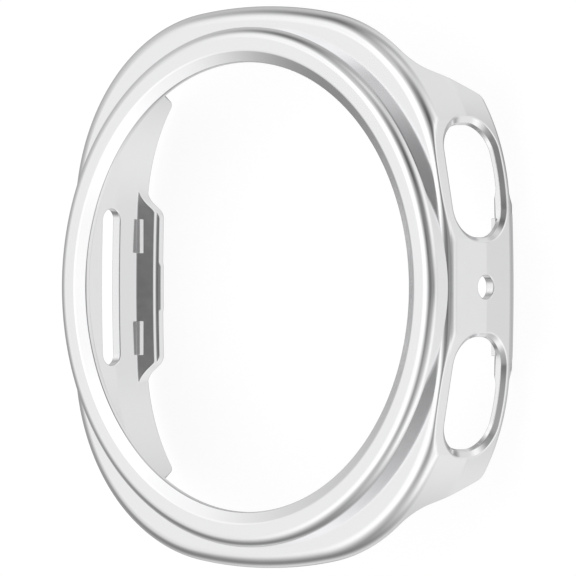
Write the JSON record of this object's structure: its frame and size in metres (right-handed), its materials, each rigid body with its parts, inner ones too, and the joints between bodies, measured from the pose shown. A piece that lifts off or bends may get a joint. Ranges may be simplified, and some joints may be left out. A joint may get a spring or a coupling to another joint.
{
  "type": "smartwatch case",
  "caption": "Clip-on protective case for a cushion-shaped smartwatch: round bezel, hollow cushion frame, button openings, speaker slot and inward snap tongues.",
  "frame": {"origin": "on the axis of the round bezel opening, level with the rear edges of the two snap tongues on which the case rests", "axes": "+X to 3 o'clock, the button side; +Y to 12 o'clock; +Z out of the watch face"},
  "size_m": [0.042, 0.0446, 0.0102],
  "materials": {
    "plated_shell": "polycarbonate with a polished silver plating",
    "plated_bezel": "polycarbonate with a polished silver plating",
    "plated_grip": "polycarbonate with a silver plating, left as moulded"
  },
  "bodies": {
    "root": {"cushion_shell": "plated_shell", "bezel_ring": "plated_bezel", "left_upper_grip_block": "plated_grip", "left_lower_grip_block": "plated_grip", "right_upper_grip_block": "plated_grip", "right_lower_grip_block": "plated_grip"}
  },
  "joints": []
}
